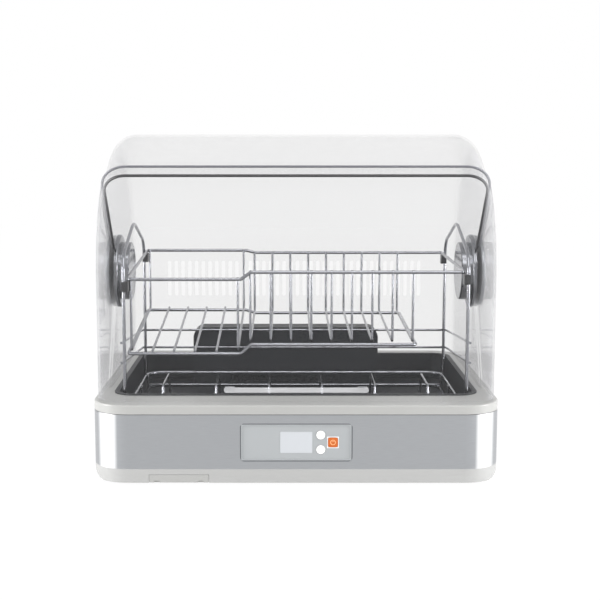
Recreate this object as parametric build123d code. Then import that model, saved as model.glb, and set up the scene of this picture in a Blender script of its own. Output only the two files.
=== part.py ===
from build123d import *
import os

# Countertop dish sterilizer cabinet. Millimetres, +Z up, front at -Y, origin at the bottom centre of the base.
os.makedirs("parts", exist_ok=True)

# ---------------------------------------------------------------- driving sizes
BASE_WIDTH = 470.0
BASE_DEPTH = 364.0
BASE_CORNER = 42.0          # corner radius of the base seen from above
FOOT_HEIGHT = 3.0
FOOT_RADIUS = 9.0
FOOT_STEM_RADIUS = 3.0
FOOT_INSET_X = 45.0
FOOT_INSET_Y = 50.0
PAN_HEIGHT = 16.0
PAN_WALL = 2.5
PAN_SIDE_ROUND = 16.0       # the pan's left and right lower edges, seen from the front
BAND_HEIGHT = 63.0
BAND_SHEET = 1.0
RIM_HEIGHT = 10.6
RIM_WALL = 2.5
RIM_EDGE_ROUND = 1.6
SEAM = 0.6                  # dark seam between the band and the rim
FIT = 0.3                   # gap round a piece that moves
SEAT = 0.1                  # gap round a piece that is only seated
LIP = 4.0                   # height of the lips that centre the band
TRAY_SIDE_MARGIN = 22.5     # from the base's side to the tray
TRAY_FRONT_MARGIN = 58.0
TRAY_BACK_MARGIN = 28.5
TRAY_CORNER = 20.0
TRAY_WALL = 2.0
TRAY_FLANGE = 4.0
TRAY_FLANGE_SHEET = 1.2
TRAY_DEPTH = 35.2
HOOD_PIVOT = 134.2          # pivot height over the rim
HOOD_FRONT_INSET = 7.0      # from the base's front to the door
HOOD_SIDE_INSET = 5.0       # from the base's side to the door
DOOR_CORNER = 32.0
HOOD_WALL = 2.5
SHELL_GAP = 1.2             # clearance between the door and the rear shell
DOOR_LIFT = 1.0             # gap between the door's lower edge and the rim
DOOR_TOP_ANGLE = 50.4
DOOR_SIDE_ANGLE = 64.0
SHELL_TOP_ANGLE = 46.8
SHELL_SIDE_ANGLE = 58.0
HUB_RADIUS = 45.0
RIDGE_HALF_WIDTH = 90.0
RIDGE_TOP = 165.0           # over the rim
RIDGE_WIDTH = 3.0
RIDGE_PROUD = 0.8
RIDGE_CORNER = 20.0
HANDLE_HALF_WIDTH = 82.0
HANDLE_HEIGHT = 6.0
HANDLE_PROUD = 7.6
HANDLE_LIFT = 14.4          # handle's underside over the rim
VENT_MARGIN = 50.5          # from the shell's side to the first vent
VENT_PITCH = 9.5
VENT_WIDTH = 5.2
VENT_LENGTH = 50.0
VENT_LIFT = 80.5            # lower end of the vents over the rim
PIN_RADIUS = 5.0
RUNNING_FIT = 0.06
BUSH_WALL = 3.0
CAP_RADIUS = 36.5
CAP_DEPTH = 17.5
RING_RADIUS = 46.0
RING_DEPTH = 4.8
OUTER_CAP_RADIUS = 43.0
OUTER_CAP_DEPTH = 4.6
CAP_ROUND = 2.0
WASHER_RADIUS = 12.0
PANEL_WIDTH = 128.0
PANEL_HEIGHT = 44.0
PANEL_LIFT = 31.1           # panel's centre over the band's lower edge
PANEL_CORNER = 5.0
PANEL_PLATE = 2.5
PANEL_BORDER = 2.2
PANEL_SINK = 0.2            # border's front face behind the band's front face
PANEL_RECESS = 0.8          # face of the plate behind the border
PANEL_FLANGE = 3.0
DISPLAY_WIDTH = 36.5
DISPLAY_HEIGHT = 24.5
DISPLAY_LIP = 1.5
ROUND_BUTTON_RADIUS = 5.0
ROUND_BUTTON_X = 27.9
ROUND_BUTTON_SPREAD = 8.5   # half the distance between the two round buttons
POWER_SIDE = 11.0
POWER_X = 41.8
POWER_CORNER = 2.0
BUTTON_PROUD = 0.6
BUTTON_TRAVEL = 0.8
BUTTON_FLANGE = 1.2
BOARD_SHEET = 1.6
BOARD_POST = 4.5
DRAWER_WIDTH = 67.0
DRAWER_SIDE = 101.0         # from the base's left side to the drawer's middle
DRAWER_LENGTH = 110.0
DRAWER_HEIGHT = 6.5
DRAWER_WALL = 1.5
DRAWER_FRONT_WIDTH = 68.0
DRAWER_FRONT_HEIGHT = 9.0
DRAWER_FRONT_SHEET = 3.0
GUIDE_WALL = 2.0
DRAIN_RADIUS = 5.0
DRAIN_WALL = 1.5
DUCT_LEFT = -139.0
DUCT_RIGHT = 115.0
DUCT_TOP = 43.2             # over the rim
DUCT_DEPTH = 34.0
DUCT_WALL = 2.0
DUCT_CORNER = 14.0
HEATER_LENGTH = 160.0
HEATER_SIZE = 16.0
FAN_SIDE = 80.0
FAN_THICKNESS = 20.0
FAN_BORE = 37.5
FAN_HUB = 14.0
FAN_SPINDLE = 2.0
FAN_BLADES = 7
FAN_POST = 8.5
SHROUD_WALL = 2.0
POST_RADIUS = 4.0
COLUMN_RADIUS = 5.0
COLUMN_SIDE_INSET = 40.0
COLUMN_FRONT_INSET = 30.0
COLUMN_BACK_INSET = 12.0
SCREW_RADIUS = 1.6
SCREW_HEAD = 3.2
GLAND_RADIUS = 6.0
GLAND_INSET = 55.0          # from the base's right side
GLAND_LIFT = 18.0           # over the band's lower edge
BOARD_SIDE = 85.0           # power board's middle from the base's right side
BOARD_BACK = 120.0          # power board's middle from the base's back
BOARD_HALF_X = 45.0
BOARD_HALF_Y = 30.0
BOARD_HOLE_INSET = 6.0
COIL_LENGTH = 30.0
COIL_WIDTH = 28.0
COIL_HEIGHT = 22.0
CAPACITOR_RADIUS = 7.0
WIRE = 4.0                  # hoops and upper rack rim
THIN_WIRE = 3.0
WELD = 0.05                 # hairline between two welded wires
HOOP_GAP = 0.5              # from the hinge caps to the hoops, and from the hoops to the upper rack
HOOP_TRAY_GAP = 16.0        # from the tray's front edge to the front legs
HOOP_DUCT_GAP = 12.9        # from the duct to the back legs
HOOP_PEAK = 196.2           # where the two slopes of the arch would meet, over the rim
HOOP_SHOULDER = 162.2       # where a leg would meet its slope, over the rim
HOOP_PEAK_ROUND = 60.0
HOOP_SHOULDER_ROUND = 30.0
LOWER_RACK_INSET = 6.0      # from the hoops' legs to the lower rack's front and back rails
STRUT_INSET = 30.0
LOWER_RAIL_RISE = 17.0
CROSS_FROM_FRONT = (17.0, 34.0, 50.0)
CROSS_FROM_BACK = (18.0, 83.0)
CROSS_FROM_MIDDLE = 15.0
BOWL_PITCH = 65.0
BOWL_DIVIDERS = 6
BOWL_DIVIDER_RISE = 26.0
RAIL_HEIGHTS = (41.2, 17.2)  # rear guard rails over the rim
RAIL_RISE = 18.0            # how much each guard rail climbs towards the front
UPPER_FRONT_LEFT = 135.2    # height of the left part of the front rim over the base's rim
UPPER_FRONT_RIGHT = 143.7
UPPER_BACK_LEFT = 150.7
UPPER_BACK_RIGHT = 147.7
LEFT_BASKET_WIDTH = 134.0   # the rim steps from the left basket to the right one past this
STEP_LENGTH = 12.0
FRAME_BEND = 5.0
LEFT_FLOOR_FRONT = 46.2
LEFT_FLOOR_BACK = 69.2
RIGHT_FLOOR_FRONT = 57.2
RIGHT_FLOOR_BACK = 65.2
RIGHT_BASKET_WIDTH = 196.0
DIVIDER_PITCH = 24.15
DIVIDERS = 8
LEFT_FLOOR_WIRES = 5
CLIP_LENGTH = 12.0
CLIP_REACH = 1.2            # how far a clip reaches past the middle of the rim wire

# ---------------------------------------------------------------- heights that follow
pan_bottom = FOOT_HEIGHT
pan_floor = pan_bottom + PAN_WALL
band_bottom = pan_bottom + PAN_HEIGHT
band_top = band_bottom + BAND_HEIGHT
rim_bottom = band_top + SEAM
rim_top = rim_bottom + RIM_HEIGHT
tray_floor = rim_top - TRAY_DEPTH
tray_bottom = tray_floor - TRAY_WALL
pivot_z = rim_top + HOOD_PIVOT
front_y = -BASE_DEPTH / 2
panel_z = band_bottom + PANEL_LIFT
tray_half_width = BASE_WIDTH / 2 - TRAY_SIDE_MARGIN
tray_front = front_y + TRAY_FRONT_MARGIN
tray_back = BASE_DEPTH / 2 - TRAY_BACK_MARGIN
duct_back = tray_back - TRAY_WALL - SEAT
duct_front = duct_back - DUCT_DEPTH
door_radius = BASE_DEPTH / 2 - HOOD_FRONT_INSET
door_half_width = BASE_WIDTH / 2 - HOOD_SIDE_INSET
shell_radius = door_radius - HOOD_WALL - SHELL_GAP
shell_half_width = door_half_width - HOOD_WALL - SHELL_GAP
hoop_x = shell_half_width - HOOD_WALL - CAP_DEPTH - HOOP_GAP - WIRE / 2
hoop_front = tray_front + HOOP_TRAY_GAP
hoop_back = duct_front - HOOP_DUCT_GAP
lower_rack_front = hoop_front + LOWER_RACK_INSET
lower_rack_back = hoop_back - LOWER_RACK_INSET
upper_half_width = hoop_x - WIRE - HOOP_GAP
drawer_x = DRAWER_SIDE - BASE_WIDTH / 2
gland_x = BASE_WIDTH / 2 - GLAND_INSET
gland_z = band_bottom + GLAND_LIFT
shell_corner = DOOR_CORNER - HOOD_WALL - SHELL_GAP
FAR = 600.0                 # past everything, for cutting

SIDES = {"left": -1, "right": 1}


def save(shape, name):
    """Write one named piece."""
    export_step(shape, f"parts/{name}.step")
    print(name, len(shape.solids()), round(shape.volume))


def plan_block(width, depth, corner, low, high, centre_y=0.0):
    """A block with vertical rounded corners between two heights."""
    outline = Pos(0, centre_y, low) * RectangleRounded(width, depth, corner)
    return extrude(outline, high - low)


def disc(x_from, x_to, radius, y=0.0, z=0.0):
    """A round piece whose axis lies along X."""
    face = Plane(origin=(x_from, y, z), z_dir=(1, 0, 0)) * Circle(radius)
    return extrude(face, x_to - x_from)


def drum(y_from, y_to, radius, x, z):
    """A round piece whose axis lies along Y."""
    face = Plane(origin=(x, y_from, z), x_dir=(1, 0, 0), z_dir=(0, 1, 0)) * Circle(radius)
    return extrude(face, y_to - y_from)


def front_block(width, height, corner, x, z, y_from, y_to):
    """A block with its rounded outline in the front view, between two depths."""
    face = Plane(
        origin=(x, y_from, z), x_dir=(1, 0, 0), z_dir=(0, -1, 0),
    ) * RectangleRounded(width, height, corner)
    return extrude(face, -(y_to - y_from))


def block(x_from, x_to, y_from, y_to, z_from, z_to):
    """A plain block between its six faces."""
    size = (x_to - x_from, y_to - y_from, z_to - z_from)
    centre = ((x_from + x_to) / 2, (y_from + y_to) / 2, (z_from + z_to) / 2)
    return Pos(*centre) * Box(*size)


def rod(start, end, thickness):
    """A straight wire between two points."""
    reach = Vector(*end) - Vector(*start)
    return extrude(Plane(origin=start, z_dir=reach) * Circle(thickness / 2), reach.length)


def bent_wire(points, bend, thickness, closed=False):
    """A wire along straight runs joined by bends of one radius."""
    path = FilletPolyline(*points, radius=bend, close=closed)
    section = Plane(origin=path @ 0, z_dir=path % 0) * Circle(thickness / 2)
    return sweep(section, path=path)


def both_sides(name, make):
    """Write the left and the right copy of a piece made for one side (-1 or 1)."""
    for side_name, side in SIDES.items():
        save(make(side), f"{name}_{side_name}")


# ---------------------------------------------------------------- feet and pan
foot_x = BASE_WIDTH / 2 - FOOT_INSET_X
foot_y = BASE_DEPTH / 2 - FOOT_INSET_Y
feet = {
    "front_left": (-foot_x, -foot_y),
    "front_right": (foot_x, -foot_y),
    "back_left": (-foot_x, foot_y),
    "back_right": (foot_x, foot_y),
}
for place, (x, y) in feet.items():
    pad = Pos(x, y, FOOT_HEIGHT / 2) * Cylinder(FOOT_RADIUS, FOOT_HEIGHT)
    stem = Pos(x, y, FOOT_HEIGHT + PAN_WALL / 2) * Cylinder(FOOT_STEM_RADIUS, PAN_WALL)
    save(pad + stem, f"foot_{place}")


def pan_form(inset, low, high):
    """The pan's outer form drawn in by an inset: rounded in plan, and round along its left and right lower edges."""
    width = BASE_WIDTH - 2 * inset
    depth = BASE_DEPTH - 2 * inset
    plan = plan_block(width, depth, BASE_CORNER - inset, low, high)
    tall = 4 * PAN_HEIGHT
    return plan & front_block(width, tall, PAN_SIDE_ROUND - inset, 0, low + tall / 2, -FAR, FAR)


drawer_left = drawer_x - DRAWER_WIDTH / 2
drawer_right = drawer_x + DRAWER_WIDTH / 2
drawer_low = pan_floor + FIT
drawer_high = drawer_low + DRAWER_HEIGHT
guide_top = drawer_high + FIT + GUIDE_WALL
front_plate_low = pan_bottom + FIT
front_plate_high = front_plate_low + DRAWER_FRONT_HEIGHT
column_x = BASE_WIDTH / 2 - COLUMN_SIDE_INSET
column_rows = (front_y + COLUMN_FRONT_INSET, BASE_DEPTH / 2 - COLUMN_BACK_INSET)
columns = [(x * column_x, y) for x in (-1, 1) for y in column_rows]
fan_x = (DUCT_LEFT + DUCT_RIGHT) / 2
fan_y = tray_back - FAN_SIDE / 2
fan_low = pan_floor + FAN_POST
fan_hole = FAN_SIDE / 2 - BOARD_HOLE_INSET
fan_holes = [(fan_x + x * fan_hole, fan_y + y * fan_hole) for x in (-1, 1) for y in (-1, 1)]
board_x = BASE_WIDTH / 2 - BOARD_SIDE
board_y = BASE_DEPTH / 2 - BOARD_BACK
board_hole_x = BOARD_HALF_X - BOARD_HOLE_INSET
board_hole_y = BOARD_HALF_Y - BOARD_HOLE_INSET
board_holes = [(board_x + x * board_hole_x, board_y + y * board_hole_y) for x in (-1, 1) for y in (-1, 1)]

pan = pan_form(0, pan_bottom, band_bottom) - pan_form(PAN_WALL, pan_floor, band_bottom)
lip_inset = BAND_SHEET + SEAT
lip_high = band_bottom + LIP
lip = plan_block(
    BASE_WIDTH - 2 * lip_inset, BASE_DEPTH - 2 * lip_inset, BASE_CORNER - lip_inset, band_bottom, lip_high,
)
lip_hole = lip_inset + PAN_WALL
lip -= plan_block(
    BASE_WIDTH - 2 * lip_hole, BASE_DEPTH - 2 * lip_hole, BASE_CORNER - lip_hole, band_bottom, lip_high,
)
ledge = plan_block(BASE_WIDTH, BASE_DEPTH, BASE_CORNER, band_bottom - 1.5, band_bottom)
ledge -= plan_block(BASE_WIDTH - 2 * lip_hole, BASE_DEPTH - 2 * lip_hole, BASE_CORNER - lip_hole, band_bottom - 1.5, band_bottom)
pan += ledge + lip
for x, y in fan_holes + board_holes:
    pan += Pos(x, y, pan_floor + FAN_POST / 2) * Cylinder(POST_RADIUS, FAN_POST)
for x, y in feet.values():
    pan -= Pos(x, y, pan_bottom + PAN_WALL / 2) * Cylinder(FOOT_STEM_RADIUS, PAN_WALL)
for x, y in columns:
    pan -= Pos(x, y, pan_bottom + PAN_WALL / 2) * Cylinder(SCREW_RADIUS, PAN_WALL)
plate_gap = FIT + DRAWER_FRONT_WIDTH / 2
pan -= block(
    drawer_x - plate_gap, drawer_x + plate_gap,
    front_y, front_y + DRAWER_FRONT_SHEET + FIT, pan_bottom, front_plate_high + FIT,
)
pan -= block(drawer_left - FIT, drawer_right + FIT, front_y, front_y + 3 * PAN_WALL, drawer_low - FIT, drawer_high + FIT)
save(pan, "pan")

# ---------------------------------------------------------------- drip drawer and its guide
drawer_back = front_y + DRAWER_FRONT_SHEET + DRAWER_LENGTH
drawer = block(drawer_left, drawer_right, front_y + DRAWER_FRONT_SHEET, drawer_back, drawer_low, drawer_high)
drawer -= block(
    drawer_left + DRAWER_WALL, drawer_right - DRAWER_WALL,
    front_y + DRAWER_FRONT_SHEET + DRAWER_WALL, drawer_back - DRAWER_WALL, drawer_low + DRAWER_WALL, drawer_high,
)
drawer += front_block(
    DRAWER_FRONT_WIDTH, DRAWER_FRONT_HEIGHT, 1.0,
    drawer_x, (front_plate_low + front_plate_high) / 2, front_y, front_y + DRAWER_FRONT_SHEET,
)
for side in (-1, 1):
    notch_x = drawer_x + side * 0.37 * DRAWER_FRONT_WIDTH
    drawer -= block(
        notch_x - 3.0, notch_x + 3.0, front_y, front_y + 1.2, front_plate_low, front_plate_low + 2.0,
    )
save(drawer, "drip_drawer")

guide_front = front_y + 3 * PAN_WALL + SEAT
guide_back = drawer_back + FIT + GUIDE_WALL
guide = block(
    drawer_left - FIT - GUIDE_WALL, drawer_right + FIT + GUIDE_WALL, guide_front, guide_back, pan_floor, guide_top,
)
guide -= block(
    drawer_left - FIT, drawer_right + FIT, guide_front, drawer_back + FIT, pan_floor, guide_top - GUIDE_WALL,
)
drain_y = (guide_front + drawer_back) / 2
guide -= Pos(drawer_x, drain_y, guide_top) * Cylinder(DRAIN_RADIUS + SEAT, 3 * GUIDE_WALL)
save(guide, "drawer_guide")

# ---------------------------------------------------------------- steel band
band = plan_block(BASE_WIDTH, BASE_DEPTH, BASE_CORNER, band_bottom, band_top)
inner_corner = BASE_CORNER - BAND_SHEET
band -= plan_block(
    BASE_WIDTH - 2 * BAND_SHEET, BASE_DEPTH - 2 * BAND_SHEET, inner_corner, band_bottom, band_top,
)
window_gap = 2 * SEAT
band -= front_block(
    PANEL_WIDTH + window_gap, PANEL_HEIGHT + window_gap, PANEL_CORNER,
    0, panel_z, front_y - 1.0, front_y + 5 * BAND_SHEET,
)
back_y = BASE_DEPTH / 2
band -= drum(back_y - 5 * BAND_SHEET, back_y + 1.0, GLAND_RADIUS, gland_x, gland_z)
save(band, "band")

gland = drum(back_y - BAND_SHEET, back_y, GLAND_RADIUS, gland_x, gland_z)
gland += drum(back_y - BAND_SHEET - 8.0, back_y - BAND_SHEET, GLAND_RADIUS + 2.0, gland_x, gland_z)
gland -= drum(back_y - 20.0, back_y + 1.0, 0.55 * GLAND_RADIUS, gland_x, gland_z)
save(gland, "cord_gland")

# ---------------------------------------------------------------- rim, tray, drain
tray_width = 2 * tray_half_width
tray_length = tray_back - tray_front
tray_y = (tray_front + tray_back) / 2
rim = plan_block(BASE_WIDTH, BASE_DEPTH, BASE_CORNER, rim_bottom, rim_top)
rim = fillet(rim.faces().sort_by(Axis.Z)[-1].edges(), RIM_EDGE_ROUND)
rim -= plan_block(
    BASE_WIDTH - 2 * RIM_WALL, BASE_DEPTH - 2 * RIM_WALL, BASE_CORNER - RIM_WALL, rim_bottom, rim_top - RIM_WALL,
)
skirt_hole = lip_inset + RIM_WALL
skirt = plan_block(
    BASE_WIDTH - 2 * lip_inset, BASE_DEPTH - 2 * lip_inset, BASE_CORNER - lip_inset, band_top - LIP, rim_bottom + RIM_WALL,
)
skirt -= plan_block(
    BASE_WIDTH - 2 * skirt_hole, BASE_DEPTH - 2 * skirt_hole, BASE_CORNER - skirt_hole, band_top - LIP, rim_bottom + RIM_WALL,
)
rim += skirt
for x, y in columns:
    rim += Pos(
        x, y, (pan_floor + rim_top - RIM_WALL) / 2,
    ) * Cylinder(COLUMN_RADIUS, rim_top - RIM_WALL - pan_floor)
rim -= plan_block(
    tray_width + 2 * SEAT, tray_length + 2 * SEAT, TRAY_CORNER + SEAT, rim_bottom, rim_top, tray_y,
)
screw_depth = 14.0
for x, y in columns:
    rim -= Pos(x, y, pan_floor + screw_depth / 2) * Cylinder(SCREW_RADIUS, screw_depth)
save(rim, "rim")

screws = []
for x, y in columns:
    head = Pos(x, y, pan_bottom - 0.6) * Cylinder(SCREW_HEAD, 1.2)
    shank = Pos(
        x, y, pan_bottom + (PAN_WALL + screw_depth) / 2,
    ) * Cylinder(SCREW_RADIUS, PAN_WALL + screw_depth)
    screws.append(head + shank)
save(Compound(children=screws), "base_screws")

flange_top = rim_top + TRAY_FLANGE_SHEET
tray = plan_block(tray_width, tray_length, TRAY_CORNER, tray_bottom, rim_top, tray_y)
tray += plan_block(
    tray_width + 2 * TRAY_FLANGE, tray_length + 2 * TRAY_FLANGE, TRAY_CORNER + TRAY_FLANGE, rim_top, flange_top, tray_y,
)
tray -= plan_block(
    tray_width - 2 * TRAY_WALL, tray_length - 2 * TRAY_WALL, TRAY_CORNER - TRAY_WALL, tray_floor, flange_top, tray_y,
)
air_left = fan_x - HEATER_LENGTH / 2
air_right = fan_x + HEATER_LENGTH / 2
tray -= block(
    air_left, air_right, duct_front + 2 * DUCT_WALL, duct_back - 2 * DUCT_WALL, tray_bottom, tray_floor,
)
tray -= Pos(drawer_x, drain_y, tray_bottom) * Cylinder(DRAIN_RADIUS, 4 * TRAY_WALL)
save(tray, "tray")

drain_low = drawer_high + FIT + 1.0
drain = Pos(drawer_x, drain_y, (drain_low + tray_floor) / 2) * Cylinder(DRAIN_RADIUS, tray_floor - drain_low)
drain += Pos(
    drawer_x, drain_y, tray_bottom - DRAIN_WALL / 2,
) * Cylinder(DRAIN_RADIUS + 2 * DRAIN_WALL, DRAIN_WALL)
drain -= Pos(drawer_x, drain_y, tray_floor / 2) * Cylinder(DRAIN_RADIUS - DRAIN_WALL, 2 * tray_floor)
save(drain, "drain_tube")

# ---------------------------------------------------------------- heater duct, heater, fan
duct_high = rim_top + DUCT_TOP


def duct_form(inset, low):
    """The duct's outer form drawn in by an inset, with its two upper corners rounded in the front view."""
    left = DUCT_LEFT + inset
    right = DUCT_RIGHT - inset
    form = block(left, right, duct_front + inset, duct_back - inset, low, duct_high - inset)
    upper = form.edges().filter_by(Axis.Y).group_by(Axis.Z)[-1]
    return fillet(upper, DUCT_CORNER - inset)


duct = duct_form(0, tray_floor) - duct_form(DUCT_WALL, tray_floor)
slot_pitch = 10.0
slot_height = 8.0
outlet_low = tray_floor + 4.0
outlets = 15
for index in range(outlets):
    slot_x = fan_x + (index - (outlets - 1) / 2) * slot_pitch
    duct -= block(
        slot_x - 3.0, slot_x + 3.0, duct_front, duct_front + DUCT_WALL, outlet_low, outlet_low + slot_height,
    )
save(duct, "heater_duct")

heater_low = tray_floor + 18.0
heater_y = (duct_front + duct_back) / 2
heater = block(air_left, air_right, heater_y - HEATER_SIZE / 2, heater_y + HEATER_SIZE / 2, heater_low, heater_low + 1.5 * HEATER_SIZE)
fin_pitch = 8.0
fins = int(HEATER_LENGTH / fin_pitch) - 1
for index in range(fins):
    fin_x = air_left + (index + 1) * fin_pitch
    heater -= block(fin_x - 2.0, fin_x + 2.0, heater_y - HEATER_SIZE / 2, heater_y + HEATER_SIZE / 2, heater_low + 3.0, heater_low + 1.5 * HEATER_SIZE - 3.0)
for side in (-1, 1):
    leg_x = fan_x + side * (HEATER_LENGTH / 2 + 3.0)
    heater += block(
        leg_x - 3.0, leg_x + 3.0, heater_y - 5.0, heater_y + 5.0, tray_floor, heater_low + 1.5 * HEATER_SIZE,
    )
save(heater, "heater_block")

fan_top = fan_low + FAN_THICKNESS
fan_frame = extrude(Pos(fan_x, fan_y, fan_low) * RectangleRounded(FAN_SIDE, FAN_SIDE, 5.0), FAN_THICKNESS)
fan_frame -= Pos(fan_x, fan_y, fan_low + FAN_THICKNESS / 2) * Cylinder(FAN_BORE, FAN_THICKNESS)
spoke = 3.0
motor_top = fan_low + 2 * spoke
for angle in (45.0, 135.0):
    arm = Rot(0, 0, angle) * Box(2 * FAN_BORE + spoke, 2 * spoke, spoke)
    fan_frame += Pos(fan_x, fan_y, fan_low + spoke / 2) * arm
fan_frame += Pos(fan_x, fan_y, (fan_low + motor_top) / 2) * Cylinder(FAN_HUB - 1.0, motor_top - fan_low)
fan_frame += Pos(
    fan_x, fan_y, (motor_top + fan_top) / 2 - 1.0,
) * Cylinder(FAN_SPINDLE, fan_top - motor_top - 2.0)
save(fan_frame, "fan_frame")

rotor_low = motor_top + FIT
rotor_high = fan_top - 2.5
rotor = Pos(fan_x, fan_y, (rotor_low + rotor_high) / 2) * Cylinder(FAN_HUB, rotor_high - rotor_low)
blade_reach = FAN_BORE - 1.5 - FAN_HUB
for index in range(FAN_BLADES):
    blade = Pos(FAN_HUB + blade_reach / 2 - 1.0, 0, 0) * Rot(35.0, 0, 0) * Box(blade_reach + 2.0, 11.0, 1.6)
    turned = Rot(0, 0, index * 360.0 / FAN_BLADES) * blade
    rotor += Pos(fan_x, fan_y, (rotor_low + rotor_high) / 2) * turned
rotor -= Pos(
    fan_x, fan_y, (rotor_low + rotor_high) / 2,
) * Cylinder(FAN_SPINDLE + RUNNING_FIT, 2 * FAN_THICKNESS)
save(rotor, "fan_rotor")

shroud_left = air_left - SHROUD_WALL
shroud_right = air_right + SHROUD_WALL
shroud = block(shroud_left, shroud_right, fan_y - FAN_SIDE / 2, fan_y + FAN_SIDE / 2, fan_top, tray_bottom)
shroud -= block(
    shroud_left + SHROUD_WALL, shroud_right - SHROUD_WALL,
    fan_y - FAN_SIDE / 2 + SHROUD_WALL, fan_y + FAN_SIDE / 2 - SHROUD_WALL, fan_top + SHROUD_WALL, tray_bottom,
)
shroud -= Pos(fan_x, fan_y, fan_top) * Cylinder(FAN_BORE, 4 * SHROUD_WALL)
save(shroud, "fan_shroud")

# ---------------------------------------------------------------- control panel
border_front = front_y + PANEL_SINK
plate_front = border_front + PANEL_RECESS
plate_back = plate_front + PANEL_PLATE
flange_front = front_y + BAND_SHEET + SEAT
button_heights = {"upper": panel_z + ROUND_BUTTON_SPREAD, "lower": panel_z - ROUND_BUTTON_SPREAD}
bezel = front_block(PANEL_WIDTH, PANEL_HEIGHT, PANEL_CORNER, 0, panel_z, border_front, plate_back)
inner_width = PANEL_WIDTH - 2 * PANEL_BORDER
inner_height = PANEL_HEIGHT - 2 * PANEL_BORDER
bezel -= front_block(
    inner_width, inner_height, PANEL_CORNER - PANEL_BORDER, 0, panel_z, border_front, plate_front,
)
bezel += front_block(
    PANEL_WIDTH + 2 * PANEL_FLANGE, PANEL_HEIGHT + 2 * PANEL_FLANGE, PANEL_CORNER, 0, panel_z, flange_front, plate_back,
)
bezel -= front_block(
    DISPLAY_WIDTH, DISPLAY_HEIGHT, 1.0, 0, panel_z, plate_front, plate_back,
)
for height in button_heights.values():
    bezel -= drum(plate_front, plate_back, ROUND_BUTTON_RADIUS + FIT, ROUND_BUTTON_X, height)
power_hole = POWER_SIDE + 2 * FIT
bezel -= front_block(power_hole, power_hole, POWER_CORNER + FIT, POWER_X, panel_z, plate_front, plate_back)
board_front = plate_back + BOARD_POST
board_width = 0.86 * PANEL_WIDTH
board_height = 0.78 * PANEL_HEIGHT
post_places = [
    (x * (board_width / 2 - 4.0), panel_z + z * (board_height / 2 - 4.0)) for x in (-1, 1) for z in (-1, 1)
]
for x, z in post_places:
    bezel += drum(plate_back, board_front, 2.5, x, z)
save(bezel, "bezel")

display = front_block(DISPLAY_WIDTH, DISPLAY_HEIGHT, 1.0, 0, panel_z, plate_front - 0.2, plate_back)
display += front_block(
    DISPLAY_WIDTH + 2 * DISPLAY_LIP, DISPLAY_HEIGHT + 2 * DISPLAY_LIP, 1.0, 0, panel_z, plate_back, plate_back + 1.5,
)
save(display, "display")

button_front = plate_front - BUTTON_PROUD
catch_front = plate_back + FIT
catch_back = catch_front + 1.0
for name, height in button_heights.items():
    button = drum(button_front, catch_back, ROUND_BUTTON_RADIUS, ROUND_BUTTON_X, height)
    button = fillet(button.faces().sort_by(Axis.Y)[0].edges(), 0.4)
    button += drum(catch_front, catch_back, ROUND_BUTTON_RADIUS + BUTTON_FLANGE, ROUND_BUTTON_X, height)
    save(button, f"button_{name}")
power = front_block(POWER_SIDE, POWER_SIDE, POWER_CORNER, POWER_X, panel_z, button_front, catch_back)
power = fillet(power.faces().sort_by(Axis.Y)[0].edges(), 0.4)
catch_side = POWER_SIDE + 1.4
power += front_block(catch_side, catch_side, POWER_CORNER, POWER_X, panel_z, catch_front, catch_back)
save(power, "button_power")

board = front_block(board_width, board_height, 1.0, 0, panel_z, board_front, board_front + BOARD_SHEET)
switch_front = catch_back + BUTTON_TRAVEL + FIT
switch_places = [(ROUND_BUTTON_X, height) for height in button_heights.values()] + [(POWER_X, panel_z)]
for x, z in switch_places:
    board += block(x - 3.0, x + 3.0, switch_front, board_front, z - 3.0, z + 3.0)
save(board, "control_board")

power_low = pan_floor + FAN_POST
mains_top = power_low + BOARD_SHEET
board_left = board_x - BOARD_HALF_X
board_right = board_x + BOARD_HALF_X
mains = block(board_left, board_right, board_y - BOARD_HALF_Y, board_y + BOARD_HALF_Y, power_low, mains_top)
mains += block(
    board_x - COIL_LENGTH, board_x, board_y - COIL_WIDTH / 2, board_y + COIL_WIDTH / 2, mains_top, mains_top + COIL_HEIGHT,
)
capacitor = Cylinder(CAPACITOR_RADIUS, 2 * CAPACITOR_RADIUS)
mains += Pos(board_x + BOARD_HALF_X / 2 - 0.5, board_y, mains_top + CAPACITOR_RADIUS) * capacitor
save(mains, "power_board")

# ---------------------------------------------------------------- hood


def hood_form(radius, half_width, corner, low):
    """A drum along X over the pivot, with rounded end edges, carried straight down to a height as a rounded block."""
    outline = Polyline((-half_width, 0), (-half_width, radius - corner))
    outline += RadiusArc((-half_width, radius - corner), (-half_width + corner, radius), corner)
    outline += Line((-half_width + corner, radius), (half_width - corner, radius))
    outline += RadiusArc((half_width - corner, radius), (half_width, radius - corner), corner)
    outline += Polyline((half_width, radius - corner), (half_width, 0), (-half_width, 0))
    dome = revolve(make_face(outline), Axis.X, 180.0)
    if dome.bounding_box().max.Z < radius / 2:
        dome = Rot(180.0, 0, 0) * dome
    body = plan_block(2 * half_width, 2 * radius, corner, low, pivot_z)
    return Pos(0, 0, pivot_z) * dome + body


def hood_skin(radius, half_width, corner, low):
    """The hood's wall alone, open below."""
    outer = hood_form(radius, half_width, corner, low)
    inner = hood_form(radius - HOOD_WALL, half_width - HOOD_WALL, corner - HOOD_WALL, low)
    return outer - inner


def side_prism(points):
    """A prism right across the hood, its outline given in the side view as (y, height over the pivot)."""
    outline = Polyline(*points, close=True)
    face = Plane(origin=(-FAR / 2, 0, pivot_z), x_dir=(0, 1, 0), z_dir=(1, 0, 0)) * make_face(outline)
    return extrude(face, FAR)


def toward(angle, reach):
    """A side-view point at an angle over the forward horizontal."""
    return (-reach * cos_deg(angle), reach * sin_deg(angle))


def cos_deg(angle):
    """Cosine of an angle in degrees."""
    return Vector(1, 0, 0).rotate(Axis.Z, angle).X


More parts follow.
